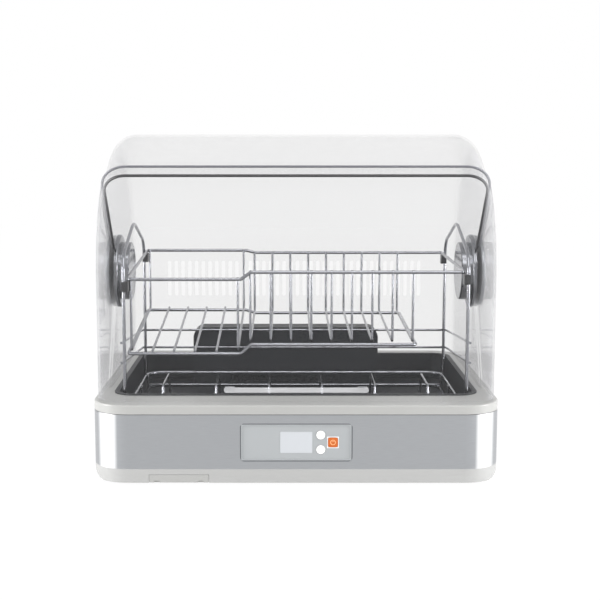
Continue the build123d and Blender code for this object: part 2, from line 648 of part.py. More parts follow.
def sin_deg(angle):
    """Sine of an angle in degrees."""
    return Vector(1, 0, 0).rotate(Axis.Z, angle).Y


def hub(radius):
    """A round boss right across the hood on the pivot line."""
    return disc(-FAR / 2, FAR / 2, radius, 0, pivot_z)


door_low = rim_top + TRAY_FLANGE_SHEET + DOOR_LIFT
door_drop = door_low - pivot_z
shell_low = rim_top
shell_drop = shell_low - pivot_z
door_wedge = side_prism([
    (0, 0), toward(DOOR_TOP_ANGLE, FAR), (-FAR, 0), (-FAR, door_drop - 1.0),
    (door_drop / (sin_deg(DOOR_SIDE_ANGLE) / cos_deg(DOOR_SIDE_ANGLE)), door_drop - 1.0),
])
door = hood_skin(door_radius, door_half_width, DOOR_CORNER, door_low)
ridge = hood_form(door_radius + RIDGE_PROUD, door_half_width, DOOR_CORNER, door_low)
ridge -= hood_form(door_radius, door_half_width, DOOR_CORNER, door_low)
ridge_high = rim_top + RIDGE_TOP
ridge_drop = 2 * RIDGE_CORNER
ridge_outer = front_block(
    2 * RIDGE_HALF_WIDTH, ridge_high - door_low + ridge_drop, RIDGE_CORNER,
    0, (ridge_high + door_low - ridge_drop) / 2, -FAR, 0,
)
ridge_inner = front_block(
    2 * (
        RIDGE_HALF_WIDTH - RIDGE_WIDTH
    ), ridge_high - door_low + ridge_drop - 2 * RIDGE_WIDTH, RIDGE_CORNER - RIDGE_WIDTH,
    0, (ridge_high + door_low - ridge_drop) / 2, -FAR, 0,
)
above_door_low = block(-FAR, FAR, -FAR, 0, door_low, FAR)
door = (door & (door_wedge + hub(HUB_RADIUS))) + (ridge & (ridge_outer - ridge_inner) & above_door_low)
door -= hub(PIN_RADIUS + RUNNING_FIT + BUSH_WALL)
save(door, "front_door")

shell_wedge = side_prism([
    (0, 0), toward(SHELL_TOP_ANGLE, FAR), (FAR, FAR), (FAR, shell_drop - 1.0),
    (shell_drop / (sin_deg(SHELL_SIDE_ANGLE) / cos_deg(SHELL_SIDE_ANGLE)), shell_drop - 1.0),
])
shell = hood_skin(shell_radius, shell_half_width, shell_corner, shell_low) & (shell_wedge + hub(HUB_RADIUS))
vent_low = rim_top + VENT_LIFT
vent_z = vent_low + VENT_LENGTH / 2
vents = int(2 * (shell_half_width - VENT_MARGIN) / VENT_PITCH) + 1
for index in range(vents):
    vent_x = (index - (vents - 1) / 2) * VENT_PITCH
    vent_face = Plane(
        origin=(vent_x, 0, vent_z), x_dir=(0, 0, 1), z_dir=(0, 1, 0),
    ) * SlotOverall(VENT_LENGTH, VENT_WIDTH)
    shell -= extrude(vent_face, FAR)
shell -= hub(PIN_RADIUS)
save(shell, "rear_shell")

handle = front_block(
    2 * HANDLE_HALF_WIDTH, HANDLE_HEIGHT, HANDLE_HEIGHT / 2 - 0.1,
    0, rim_top + HANDLE_LIFT + HANDLE_HEIGHT / 2, -door_radius - HANDLE_PROUD, -door_radius,
)
handle = fillet(handle.faces().sort_by(Axis.Y)[0].edges(), 1.2)
finger_width = 2 * HANDLE_HALF_WIDTH - 4 * HANDLE_HEIGHT
finger = block(-finger_width / 2, finger_width / 2, -door_radius - HANDLE_PROUD + 2.5, -door_radius, 0, FAR)
handle -= finger
save(handle, "door_handle")

# ---------------------------------------------------------------- side hinges
inner_wall = shell_half_width - HOOD_WALL
outer_cap_from = door_half_width + FIT
outer_cap_to = outer_cap_from + OUTER_CAP_DEPTH


def side_disc(side, x_from, x_to, radius):
    """A round hinge piece on one side, between two distances from the middle."""
    low, high = sorted((side * x_from, side * x_to))
    return disc(low, high, radius, 0, pivot_z)


def hinge_pin(side):
    return side_disc(side, inner_wall - CAP_DEPTH + 4.0, outer_cap_to - 1.5, PIN_RADIUS)


def inner_cap(side):
    cap = side_disc(side, inner_wall - CAP_DEPTH, inner_wall, CAP_RADIUS)
    inward = cap.faces().sort_by(Axis.X)[0 if side > 0 else -1]
    cap = fillet(inward.edges(), CAP_ROUND)
    return cap - side_disc(side, inner_wall - CAP_DEPTH + 4.0, inner_wall, PIN_RADIUS)


def chrome_ring(side):
    ring = side_disc(side, inner_wall - RING_DEPTH, inner_wall, RING_RADIUS)
    inward = ring.faces().sort_by(Axis.X)[0 if side > 0 else -1]
    ring = fillet(inward.edges(), CAP_ROUND)
    return ring - side_disc(side, inner_wall - RING_DEPTH, inner_wall, CAP_RADIUS + SEAT)


def hinge_washer(side):
    washer = side_disc(side, shell_half_width, shell_half_width + SHELL_GAP - FIT, WASHER_RADIUS)
    return washer - side_disc(side, shell_half_width, shell_half_width + SHELL_GAP, PIN_RADIUS)


def door_bush(side):
    bush = side_disc(side, door_half_width - HOOD_WALL, door_half_width, PIN_RADIUS + RUNNING_FIT + BUSH_WALL)
    return bush - side_disc(side, 0, FAR, PIN_RADIUS + RUNNING_FIT)


def outer_cap(side):
    cap = side_disc(side, outer_cap_from, outer_cap_to, OUTER_CAP_RADIUS)
    outward = cap.faces().sort_by(Axis.X)[-1 if side > 0 else 0]
    cap = fillet(outward.edges(), CAP_ROUND)
    return cap - side_disc(side, outer_cap_from, outer_cap_to - 1.5, PIN_RADIUS)


both_sides("hinge_pin", hinge_pin)
both_sides("inner_cap", inner_cap)
both_sides("chrome_ring", chrome_ring)
both_sides("hinge_washer", hinge_washer)
both_sides("door_bush", door_bush)
both_sides("outer_cap", outer_cap)

# ---------------------------------------------------------------- lower rack
wire_step = WIRE + WELD
thin_step = (WIRE + THIN_WIRE) / 2 + WELD
foot_rail_z = tray_floor + FIT + WIRE / 2
top_rail_z = foot_rail_z + LOWER_RAIL_RISE
rail_x = hoop_x - wire_step
foot_rail_x = rail_x - thin_step


def rack_loop(half_width, front, back, height, corner, thickness):
    """A closed wire loop at one height."""
    corners = [(
        -half_width, front, height,
    ), (half_width, front, height), (half_width, back, height), (-half_width, back, height)]
    return bent_wire(corners, corner, thickness, closed=True)


loop_gap = thin_step
lower = [
    rack_loop(rail_x, lower_rack_front, lower_rack_back, top_rail_z, 22.0, WIRE),
    rack_loop(foot_rail_x, lower_rack_front + loop_gap, lower_rack_back - loop_gap, foot_rail_z, 20.0, WIRE),
]
save(Compound(children=lower), "lower_rack")

cross_z = foot_rail_z + thin_step
cross = []
rack_y = (lower_rack_back + lower_rack_front) / 2
cross_y = [lower_rack_front + step for step in CROSS_FROM_FRONT]
cross_y += [lower_rack_back - step for step in CROSS_FROM_BACK] + [rack_y - CROSS_FROM_MIDDLE]
for y in cross_y:
    cross.append(rod((-foot_rail_x, y, cross_z), (foot_rail_x, y, cross_z), THIN_WIRE))
strut_y = [lower_rack_front + STRUT_INSET, rack_y, lower_rack_back - STRUT_INSET]
strut_x = rail_x - thin_step
for side in (-1, 1):
    for y in strut_y:
        low = foot_rail_z + WIRE / 2 + WELD
        cross.append(rod((side * strut_x, y, low), (side * strut_x, y, top_rail_z + WIRE / 2), THIN_WIRE))
save(Compound(children=cross), "rack_cross_wires")

dividers = []
divider_low = cross_z + THIN_WIRE + WELD
divider_front = lower_rack_front + min(CROSS_FROM_FRONT) + WIRE
divider_back = lower_rack_back - max(CROSS_FROM_BACK) + WIRE
for index in range(BOWL_DIVIDERS):
    x = (index - (BOWL_DIVIDERS - 1) / 2) * BOWL_PITCH
    top = divider_low + BOWL_DIVIDER_RISE
    points = [(
        x, divider_front - 6.0, divider_low,
    ), (x, divider_front + 4.0, divider_low), (x, divider_front + 14.0, top)]
    points += [(
        x, divider_back - 14.0, top,
    ), (x, divider_back - 4.0, divider_low), (x, divider_back + 6.0, divider_low)]
    dividers.append(bent_wire(points, 4.0, THIN_WIRE))
save(Compound(children=dividers), "bowl_dividers")

hoop_low = top_rail_z - WIRE / 2
hoop_middle = (hoop_front + hoop_back) / 2
hoop_shoulder = rim_top + HOOP_SHOULDER
hoop_peak = rim_top + HOOP_PEAK


def hoop(side, thickness=WIRE):
    """An arched wire that stands on the lower rack's side rail."""
    x = side * hoop_x
    points = [
        (x, hoop_front, hoop_low), (x, hoop_front, hoop_shoulder), (x, hoop_middle, hoop_peak),
        (x, hoop_back, hoop_shoulder), (x, hoop_back, hoop_low),
    ]
    return bent_wire(points, [HOOP_SHOULDER_ROUND, HOOP_PEAK_ROUND, HOOP_SHOULDER_ROUND], thickness)


both_sides("hoop", hoop)

guard_step = (WIRE + THIN_WIRE) / 2 + WELD
guards = []
for height in RAIL_HEIGHTS:
    x = hoop_x + guard_step
    y = hoop_back + guard_step
    z = rim_top + height
    points = [(-x, hoop_front, z + RAIL_RISE), (-x, y, z), (x, y, z), (x, hoop_front, z + RAIL_RISE)]
    guards.append(bent_wire(points, guard_step, THIN_WIRE))
save(Compound(children=guards), "rear_rails")

# ---------------------------------------------------------------- upper rack
left_x = -upper_half_width
right_x = upper_half_width
step_x = left_x + LEFT_BASKET_WIDTH
step_to = step_x + STEP_LENGTH
right_basket_end = step_to + RIGHT_BASKET_WIDTH
rack_front = hoop_front + 1.0
rack_back = hoop_back + 1.0


def stepped_run(y, left_z, right_z, right_end, middle_z):
    """Half of a basket's loop: along the front or the back with its step, and half of each side."""
    middle_y = (rack_front + rack_back) / 2
    half_gap = WELD / 2 if y > middle_y else -WELD / 2
    points = [
        (
            left_x, middle_y + half_gap, middle_z[0],
        ), (left_x, y, left_z), (step_x, y, left_z), (step_to, y, right_z),
        (right_end, y, right_z), (right_end, middle_y + half_gap, middle_z[1]),
    ]
    return bent_wire([(x, y, rim_top + z) for x, y, z in points], FRAME_BEND, WIRE)


def stepped_loop(front_left, front_right, back_left, back_right, right_end):
    """The front and back halves of a loop that steps between the two baskets."""
    middle_z = ((front_left + back_left) / 2, (front_right + back_right) / 2)
    front_half = stepped_run(rack_front, front_left, front_right, right_end, middle_z)
    return [front_half, stepped_run(rack_back, back_left, back_right, right_end, middle_z)]


frame = stepped_loop(UPPER_FRONT_LEFT, UPPER_FRONT_RIGHT, UPPER_BACK_LEFT, UPPER_BACK_RIGHT, right_x)
frame += stepped_loop(
    LEFT_FLOOR_FRONT, RIGHT_FLOOR_FRONT, LEFT_FLOOR_BACK, RIGHT_FLOOR_BACK, right_basket_end,
)
save(Compound(children=frame), "upper_rack_frame")


def basket_wire(x, top_front, top_back, low_front, low_back):
    """A wire hung inside the rim: down the front, back along the floor and up the back."""
    inset = thin_step + WELD
    points = [
        (
            x, rack_front + inset, rim_top + top_front + WIRE / 2,
        ), (x, rack_front + inset, rim_top + low_front + inset),
        (
            x, rack_back - inset, rim_top + low_back + inset,
        ), (x, rack_back - inset, rim_top + top_back + WIRE / 2),
    ]
    return bent_wire(points, inset, THIN_WIRE)


plate_wires = []
for index in range(DIVIDERS + 1):
    x = right_basket_end - thin_step - index * DIVIDER_PITCH
    plate_wires.append(
        basket_wire(x, UPPER_FRONT_RIGHT, UPPER_BACK_RIGHT, RIGHT_FLOOR_FRONT, RIGHT_FLOOR_BACK),
    )
save(Compound(children=plate_wires), "plate_dividers")

left_span = step_x - left_x - 2 * thin_step
left_pitch = left_span / LEFT_FLOOR_WIRES
left_wires = []
for index in range(LEFT_FLOOR_WIRES + 1):
    x = left_x + thin_step + index * left_pitch
    if index in (0, LEFT_FLOOR_WIRES):
        left_wires.append(
            basket_wire(x, UPPER_FRONT_LEFT, UPPER_BACK_LEFT, LEFT_FLOOR_FRONT, LEFT_FLOOR_BACK),
        )
    else:
        front = (x, rack_front, rim_top + LEFT_FLOOR_FRONT + thin_step)
        back = (x, rack_back, rim_top + LEFT_FLOOR_BACK + thin_step)
        left_wires.append(rod(front, back, THIN_WIRE))
save(Compound(children=left_wires), "left_basket")

# ---------------------------------------------------------------- clips that carry the upper rack on the hoops


def clip(side, y, rim_z, slope_drop):
    """A block that grips one hoop leg and reaches under the upper rack's rim."""
    x_out = side * (hoop_x + 0.375 * WIRE)
    x_in = side * (upper_half_width - CLIP_REACH)
    low, high = sorted((x_out, x_in))
    top = rim_z - WIRE / 2 - FIT - slope_drop
    body = block(low, high, y - CLIP_LENGTH / 2, y + CLIP_LENGTH / 2, top - CLIP_LENGTH, top)
    return body - hoop(side, WIRE + 2 * SEAT)


clips = []
for side, front_height, back_height in (
    (-1, UPPER_FRONT_LEFT, UPPER_BACK_LEFT), (1, UPPER_FRONT_RIGHT, UPPER_BACK_RIGHT),
):
    slope = (back_height - front_height) / (rack_back - rack_front)
    clips.append(clip(side, hoop_front, rim_top + front_height, 0.0))
    clips.append(clip(side, hoop_back, rim_top + back_height, slope * CLIP_LENGTH))
save(Compound(children=clips), "rack_clips")
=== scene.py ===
# %% [markdown]
# # A countertop dish sterilizer cabinet, dressed
# The cabinet comes in as a finished frame of separate pieces: pan, steel band, rim, tray, clear hood, clear door,
# hinges and wire racks. This lesson gives each piece its finish and adds the thin parts that only the eye needs: the
# seals along the hood's edges, a dark strip of painted shadow in the seam under the rim and the marks on the panel
# and its keys.

import bpy
import numpy as np
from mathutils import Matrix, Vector


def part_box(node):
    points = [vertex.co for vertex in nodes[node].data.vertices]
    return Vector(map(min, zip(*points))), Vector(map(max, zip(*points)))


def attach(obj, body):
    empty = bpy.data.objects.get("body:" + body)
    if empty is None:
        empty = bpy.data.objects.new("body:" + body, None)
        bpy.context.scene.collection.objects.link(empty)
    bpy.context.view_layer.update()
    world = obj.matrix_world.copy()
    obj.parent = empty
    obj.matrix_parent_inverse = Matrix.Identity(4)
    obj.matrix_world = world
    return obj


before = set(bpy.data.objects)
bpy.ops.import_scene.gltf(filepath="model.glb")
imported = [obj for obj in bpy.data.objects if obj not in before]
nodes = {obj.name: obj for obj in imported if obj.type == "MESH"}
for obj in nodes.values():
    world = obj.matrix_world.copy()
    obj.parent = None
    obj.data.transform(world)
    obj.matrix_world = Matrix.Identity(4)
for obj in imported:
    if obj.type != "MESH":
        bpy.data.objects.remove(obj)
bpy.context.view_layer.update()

# %% [markdown]
# ## Measures read from the frame
# The hood's radii and widths, the hinge's height and the panel's place are read from the pieces that carry them, so
# a new piece lands on its seat without any fitting by eye. Sheet thickness, corner radii and the angles of the cut
# edges can't be read from a piece's box, so they are given here once.

# %% Measures
MM = 0.001
WALL = 2.5 * MM             # thickness of the clear sheets
SHEET_GAP = 1.2 * MM        # between the door and the rear shell
DOOR_CORNER = 32 * MM
BASE_CORNER = 42 * MM
HUB_RADIUS = 45 * MM        # where the cut edges end, near the hinge
DOOR_TOP_ANGLE = 50.4
SHELL_TOP_ANGLE = 46.8
door_high = np.array(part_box("front_door")[1])
shell_high = np.array(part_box("rear_shell")[1])
band_high = np.array(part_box("band")[1])
ring_low, ring_high = (np.array(v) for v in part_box("chrome_ring_right"))
pivot_z = (ring_low[2] + ring_high[2]) / 2
shell_radius = shell_high[2] - pivot_z
door_half_width = door_high[0]
shell_half_width = shell_high[0]
door_radius = shell_radius + WALL + SHEET_GAP
shell_corner = DOOR_CORNER - WALL - SHEET_GAP
print("pivot height", round(pivot_z, 4), "door radius", round(door_radius, 4))

# %% [markdown]
# ## The camera
# The photograph looks down on the front by a few degrees from about a metre and a half away. Height, pitch,
# distance and lens come from one fit to the outlines of the base and hood, the hinge ring and the tray's corners.
# The camera stands a little to the left of the cabinet's middle, and the lens shift puts the object back where the
# picture has it.

# %% Camera
CAMERA_DISTANCE = 1.511
CAMERA_HEIGHT = 0.388
CAMERA_SIDE = -0.0125
CAMERA_PITCH = 7.47
LENS = 71.8
SHIFT = 14.7 / 600
camera_data = bpy.data.cameras.new("camera")
camera_data.lens = LENS
camera_data.sensor_width = 36.0
camera_data.shift_x = SHIFT
camera = bpy.data.objects.new("camera", camera_data)
camera.location = (CAMERA_SIDE, -CAMERA_DISTANCE, CAMERA_HEIGHT)
camera.rotation_euler = (np.radians(90 - CAMERA_PITCH), 0, 0)
bpy.context.collection.objects.link(camera)
bpy.context.scene.camera = camera
print("camera", tuple(camera.location))

# %% [markdown]
# ## Shader maths as plain expressions
# A node tree is hard to read as a list of links. The class below wraps one output socket, so that
# `1 - mask * 0.5` adds its own Math nodes, and `Finish.node` makes any other node from its settings and inputs.


# %% Shader helpers
class Value:
    """One output socket that can be used in sums, differences, products and powers."""

    def __init__(self, finish, socket):
        self.finish = finish
        self.socket = socket

    def maths(self, operation, first, second):
        return self.finish.maths(operation, first, second)

    def __add__(self, other):
        return self.maths("ADD", self, other)

    __radd__ = __add__

    def __mul__(self, other):
        return self.maths("MULTIPLY", self, other)

    __rmul__ = __mul__

    def __sub__(self, other):
        return self.maths("SUBTRACT", self, other)

    def __rsub__(self, other):
        return self.maths("SUBTRACT", other, self)

    def __pow__(self, other):
        return self.maths("POWER", self, other)

    def above(self, level):
        return self.maths("GREATER_THAN", self, level)

    def below(self, level):
        return self.maths("LESS_THAN", self, level)


class Finish:
    """A material that is built from expressions on its sockets."""

    def __init__(self, name):
        self.material = bpy.data.materials.new(name)
        self.material.use_nodes = True
        self.tree = self.material.node_tree
        self.surface = self.tree.nodes["Principled BSDF"]
        self.output = self.tree.nodes["Material Output"]

    def maths(self, operation, first, second):
        return self.node("Math", {"operation": operation}, {0: first, 1: second})

    def node(self, kind, settings=None, inputs=None, output=0):
        """Adds a node of one kind, with its settings first and then its values and links."""
        made = self.tree.nodes.new("ShaderNode" + kind)
        for key, value in (settings or {}).items():
            setattr(made, key, value)
        for key, value in (inputs or {}).items():
            self.feed(made.inputs[key], value)
        return Value(self, made.outputs[output])

    def feed(self, socket, value):
        if isinstance(value, Value):
            self.tree.links.new(value.socket, socket)
        else:
            socket.default_value = value

    def set(self, **values):
        """Sets or links the main shader's sockets; a name's underscores stand for spaces."""
        for key, value in values.items():
            self.feed(self.surface.inputs[key.replace("_", " ")], value)
        return self

    def place(self, scale=(1, 1, 1)):
        """Object coordinates, stretched by a scale."""
        coordinates = self.node("TexCoord", output=3)
        return self.node("Mapping", {}, {"Vector": coordinates, "Scale": scale})

    def axis(self, index):
        """One of the object coordinates, in metres."""
        return self.node("SeparateXYZ", {}, {0: self.node("TexCoord", output=3)}, output=index)

    def noise(self, scale, stretch=(1, 1, 1), detail=3.0):
        return self.node("TexNoise", {}, {"Vector": self.place(stretch), "Scale": scale, "Detail": detail})

    def blend(self, mask, low, high):
        """A colour between two colours."""
        mixed = self.node("Mix", {"data_type": "RGBA"}, {0: mask, 6: low, 7: high}, output=2)
        return mixed

    def bump(self, height, strength, distance):
        normal = self.node("Bump", {}, {"Height": height, "Strength": strength, "Distance": distance})
        self.feed(self.surface.inputs["Normal"], normal)
        return self


def colour(text):
    """A hex colour as linear numbers: the usual curve from screen values to light."""
    parts = np.array([int(text[i:i + 2], 16) / 255 for i in (1, 3, 5)])
    linear = np.where(parts <= 0.04045, parts / 12.92, ((parts + 0.055) / 1.055) ** 2.4)
    return (*linear.tolist(), 1.0)


def dress(finish, *names):
    """Gives the finish to the named pieces."""
    for name in names:
        mesh = nodes[name].data if isinstance(name, str) else name.data
        mesh.materials.clear()
        mesh.materials.append(finish.material)
    print(finish.material.name, "on", len(names), "pieces")


# %% [markdown]
# ## Light grey moulded plastic
# The pan, the rim and the drip drawer are glossy light grey plastic. Moulding leaves a faint orange-peel, so a
# very shallow noise bends the normal, and the gloss changes slightly from place to place.


# %% Moulded plastic
def moulded(name, tone, rough, grain=900.0, strength=0.06, coat=0.15):
    """Glossy plastic: one colour with a slight mottling, soft orange-peel and uneven gloss."""
    finish = Finish(name)
    mottle = finish.noise(14.0)
    low = colour(tone)
    high = (*(min(1.0, c * 1.05) for c in low[:3]), 1.0)
    peel = finish.noise(grain)
    finish.set(Base_Color=finish.blend(mottle, low, high), Roughness=rough + 0.08 * mottle, Coat_Weight=coat)
    return finish.bump(peel, strength, 0.0004)


dress(moulded("pan_plastic", "#A4A4A3", 0.36, coat=0.05), "pan")
dress(moulded("rim_plastic", "#A1A19F", 0.30), "rim", "drip_drawer")
dress(moulded("inner_plastic", "#8E8F90", 0.5), "drawer_guide", "drain_tube", "fan_shroud")
dress(moulded("foot_rubber", "#202020", 0.8), *(n for n in nodes if n.startswith("foot_")))
tray_finish = moulded("tray_plastic", "#17191D", 0.42, 1600.0, 0.20, coat=0.0)
tray_finish.surface.inputs["Specular IOR Level"].default_value = 0.25
dress(tray_finish, "tray", "heater_duct")
dress(moulded("fan_plastic", "#17181A", 0.45), "fan_frame", "fan_rotor")
dress(moulded("clip_plastic", "#141416", 0.35), "rack_clips", "cord_gland")
bearings = [f"{kind}_{side}" for kind in ("hinge_washer", "door_bush") for side in ("left", "right")]
dress(moulded("washer_nylon", "#DCDCD6", 0.5), *bearings)
dress(moulded("button_white", "#EFEFED", 0.3), "button_upper", "button_lower")

# %% [markdown]
# ## Brushed steel band
# The band is thin stainless sheet, brushed sideways and bent round the corners. The brushing is a noise squeezed
# hard along its height and drawn out along its length, feeding the gloss and a faint bump. The two bright upright
# streaks by the corners stand for reflections of the room, and are painted into the colour.

# %% Brushed steel
GLINT_PLACE = 0.216         # distance of each bright upright streak from the middle
GLINT_WIDTH = 0.012
steel = Finish("band_steel")
streak = steel.noise(60.0, (1.2, 1.2, 60.0), 4.0)
wear = steel.noise(5.0)
sideways = steel.axis(0)
from_glint = ((sideways * sideways) ** 0.5 - GLINT_PLACE) * (1 / GLINT_WIDTH)
glint = steel.maths("MAXIMUM", 1 - from_glint * from_glint, 0.0)
brushed = steel.blend(streak, colour("#989A9D"), colour("#ABADB0"))
steel.set(
    Base_Color=steel.blend(glint, brushed, colour("#FFFFFF")),
    Metallic=0.82,
    Roughness=0.30 + 0.10 * streak + 0.05 * wear,
)
steel.bump(streak, 0.05, 0.0003)
dress(steel, "band")

# %% [markdown]
# ## Chrome
# The wires and hinge rings are chrome. Real plating is never quite even, so its roughness wanders a little.


# %% Chrome and satin metal
def plated(name, tone, rough):
    """Polished plating: a metal with a slightly uneven gloss."""
    finish = Finish(name)
    cloud = finish.noise(40.0)
    finish.set(Base_Color=colour(tone), Metallic=1.0, Roughness=rough + 0.06 * cloud)
    return finish.bump(finish.noise(300.0), 0.03, 0.0002)


wires = ("lower_rack", "rack_cross_wires", "bowl_dividers", "hoop_left", "hoop_right", "rear_rails",
         "upper_rack_frame", "plate_dividers", "left_basket")
dress(plated("chrome_wire", "#8E8F94", 0.12), *wires)
hinge_chrome = ("chrome_ring_left", "chrome_ring_right", "inner_cap_left", "inner_cap_right")
dress(plated("chrome_hinge", "#85868A", 0.12), *hinge_chrome)
dress(plated("pin_steel", "#A9AAAC", 0.30), "hinge_pin_left", "hinge_pin_right")
dress(plated("screw_steel", "#8F9092", 0.35), "base_screws")
dress(plated("heater_aluminium", "#C4C4C4", 0.45), "heater_block")

satin = Finish("cap_satin")
height = satin.axis(2) - float(pivot_z)
depth = satin.axis(1)
reach = (height * height + depth * depth) ** 0.5
turned = {"W": reach * 900.0, "Scale": 1.0, "Detail": 2.0}
rings = satin.node("TexNoise", {"noise_dimensions": "1D"}, turned)
satin.set(Base_Color=colour("#A9ACAF"), Metallic=0.75, Roughness=0.28 + 0.15 * rings)
satin.bump(rings, 0.05, 0.0003)
dress(satin, "outer_cap_left", "outer_cap_right")

# %% [markdown]
# ## The control panel
# The panel is silver-painted plastic with a blank pale display, two white round keys and one orange key. The
# orange key carries the usual ring-and-bar power mark, drawn from distances to the key's centre. The panel's dark
# border and the pale frame round the orange key are drawn the same way.

# %% Panel, display and keys
PANEL_HALF_WIDTH = 0.0628   # inside the dark border
PANEL_HALF_HEIGHT = 0.0208
KEY_HALF = 5.7 * MM
KEY_FRAME = 1.0 * MM
RING_INNER = 2.4 * MM
RING_OUTER = 3.0 * MM
GAP_HALF = 0.9 * MM
BAR_HALF = 0.3 * MM
BAR_LOW = 0.6 * MM
BAR_HIGH = 3.4 * MM
dress(moulded("display_window", "#B8BBBF", 0.14), "display")

key_low, key_high = (np.array(v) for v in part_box("button_power"))
key_x, key_z = (key_low[0] + key_high[0]) / 2, (key_low[2] + key_high[2]) / 2


def square_reach(finish, x, z, half_width, half_height):
    """How far a point lies outside a rectangle on the front, in metres: below 0 inside it."""
    across = finish.axis(0) - float(x)
    along = finish.axis(2) - float(z)
    past_side = (across * across) ** 0.5 - half_width
    past_top = (along * along) ** 0.5 - half_height
    return finish.maths("MAXIMUM", past_side, past_top)


panel = moulded("panel_plastic", "#9DA0A2", 0.34, 1400.0, 0.05)
bezel_low, bezel_high = (np.array(v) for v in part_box("bezel"))
panel_z = (bezel_low[2] + bezel_high[2]) / 2
outline = square_reach(panel, 0, panel_z, PANEL_HALF_WIDTH, PANEL_HALF_HEIGHT).above(0.0)
key_reach = square_reach(panel, key_x, key_z, KEY_HALF, KEY_HALF)
key_ring = key_reach.above(0.0) * key_reach.below(KEY_FRAME)
face = panel.blend(outline, colour("#9DA0A2"), colour("#5F6265"))
panel.set(Base_Color=panel.blend(key_ring, face, colour("#E4E5E6")))
dress(panel, "bezel")

orange = Finish("button_orange")
across = orange.axis(0) - float(key_x)
along = orange.axis(2) - float(key_z)
distance = (across * across + along * along) ** 0.5
ring_mark = distance.above(RING_INNER) * distance.below(RING_OUTER)
gap = across.above(-GAP_HALF) * across.below(GAP_HALF) * along.above(0.0)
bar = across.above(-BAR_HALF) * across.below(BAR_HALF) * along.above(BAR_LOW) * along.below(BAR_HIGH)
mark = ring_mark * (1 - gap) + bar
speckle = orange.noise(50.0)
orange.set(
    Base_Color=orange.blend(mark, colour("#BF5A06"), colour("#F3C08C")),
    Roughness=0.28 + 0.06 * speckle,
    Coat_Weight=0.3,
)
dress(orange, "button_power")

board = Finish("board_green")
copper = board.noise(700.0, (1, 1, 1), 0.0).above(0.56)
board_colour = board.blend(copper, colour("#1F5A36"), colour("#3B7F50"))
board.set(Base_Color=board_colour, Roughness=0.45 + 0.1 * copper)
dress(board, "control_board", "power_board")

# %% [markdown]
# ## Clear covers
# The hood and the door are clear moulded plastic. Seen square on, such a sheet is nearly invisible, and where it
# turns away it mirrors the room and, towards its two sides, darkens. A mix between a see-through shader and a glossy
# one, driven by how far the surface turns away, gives both, and stays quick and clean because nothing has to bend
# through the sheet. The darkening is painted shade: where the sheet turns away, its colour goes to dark grey towards
# the two sides, and all over on the handle.


# %% Clear plastic
def clear(name, tint, side_shade_tone, low, high, power, sides=12.0):
    """See-through plastic, glossy where it turns away, with painted grey shade there towards its sides; 0 sides is
    all over.
    """
    finish = Finish(name)
    facing = finish.node("LayerWeight", {}, {"Blend": 0.5}, output=1)
    haze = finish.noise(6.0)
    across = finish.axis(0) * (1 / float(door_half_width))
    beside = (across * across) ** (sides / 2)
    # Painted shade: the colour goes dark grey towards the sheet's two sides.
    shade = finish.blend(beside, colour("#FFFFFF"), colour(side_shade_tone))
    finish.set(Base_Color=finish.blend(facing, colour(tint), shade), Roughness=0.05 + 0.04 * haze)
    finish.surface.inputs["Coat Weight"].default_value = 0.6
    seen = finish.node("BsdfTransparent", {}, {"Color": colour("#FAFAFA")})
    share = low + (high - low) * facing ** power * (0.3 + 0.7 * beside)
    mixed = finish.node("MixShader", {}, {0: share, 1: seen})
    finish.tree.links.new(finish.surface.outputs[0], mixed.socket.node.inputs[2])
    finish.tree.links.new(mixed.socket, finish.output.inputs["Surface"])
    return finish


# The second colour of each is painted shade where the sheet turns away: towards the sides on the hood and door, all
# over on the handle.
dress(clear("clear_shell", "#F2F2F5", "#74747B", 0.015, 0.75, 3.5), "rear_shell")
dress(clear("clear_door", "#F2F2F5", "#6C6C74", 0.015, 0.75, 3.5), "front_door")
dress(clear("clear_handle", "#F4F4F6", "#7C7C84", 0.30, 0.90, 1.8, 0.0), "door_handle")

# %% [markdown]
# ## Seals along the hood's edges
# A thin grey seal caps the door's cut edge and a wider black one caps the rear shell's, a little lower: up one
# side, round the corner, across the top and down the other side. All the points of a seal lie in one slanted plane
# through the pivot, so its path is the hood's outline there, and a small rounded section is carried along it.


# %% Surfaces from arrays
def surface(name, points, body, closed=True):
    """A mesh from a grid of points (along, around, 3): a quad for each cell, and rows that close on themselves."""
    along, around = points.shape[:2]
    start = np.arange(along - 1)[:, None] * around
    turn = np.arange(around)[None, :]
    following = (turn + 1) % around
    near = [start + turn, start + following]
    far = [start + around + following, start + around + turn]
    quads = np.stack(near + far, axis=-1)
    faces = quads.reshape(-1, 4).tolist()
    if closed:
        faces += [list(range(around))[::-1], list(range((along - 1) * around, along * around))]
    mesh = bpy.data.meshes.new(name)
    mesh.from_pydata(points.reshape(-1, 3).tolist(), [], faces)
    mesh.polygons.foreach_set("use_smooth", np.ones(len(mesh.polygons), dtype=bool))
    mesh.validate()
    piece = bpy.data.objects.new(name, mesh)
    bpy.context.collection.objects.link(piece)
    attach(piece, body)
    print(name, len(mesh.polygons), "faces")
    return piece


def carried(path, wide, thick, up, around=12, squareness=4.0):
    """A rounded-square section carried along a path: width along `up`, thickness across it and the path."""
    direction = np.gradient(path, axis=0)
    direction /= np.linalg.norm(direction, axis=1, keepdims=True)
    lift = up - direction * np.sum(direction * up, axis=1, keepdims=True)
    lift /= np.linalg.norm(lift, axis=1, keepdims=True)
    across = np.cross(direction, lift)
    angle = np.linspace(0, 2 * np.pi, around, endpoint=False)
    shape = (np.abs(np.cos(angle)) ** squareness + np.abs(np.sin(angle)) ** squareness) ** (-1 / squareness)
    u = (shape * np.cos(angle) * wide / 2)[None, :, None]
    v = (shape * np.sin(angle) * thick / 2)[None, :, None]
    return path[:, None, :] + u * lift[:, None, :] + v * across[:, None, :]


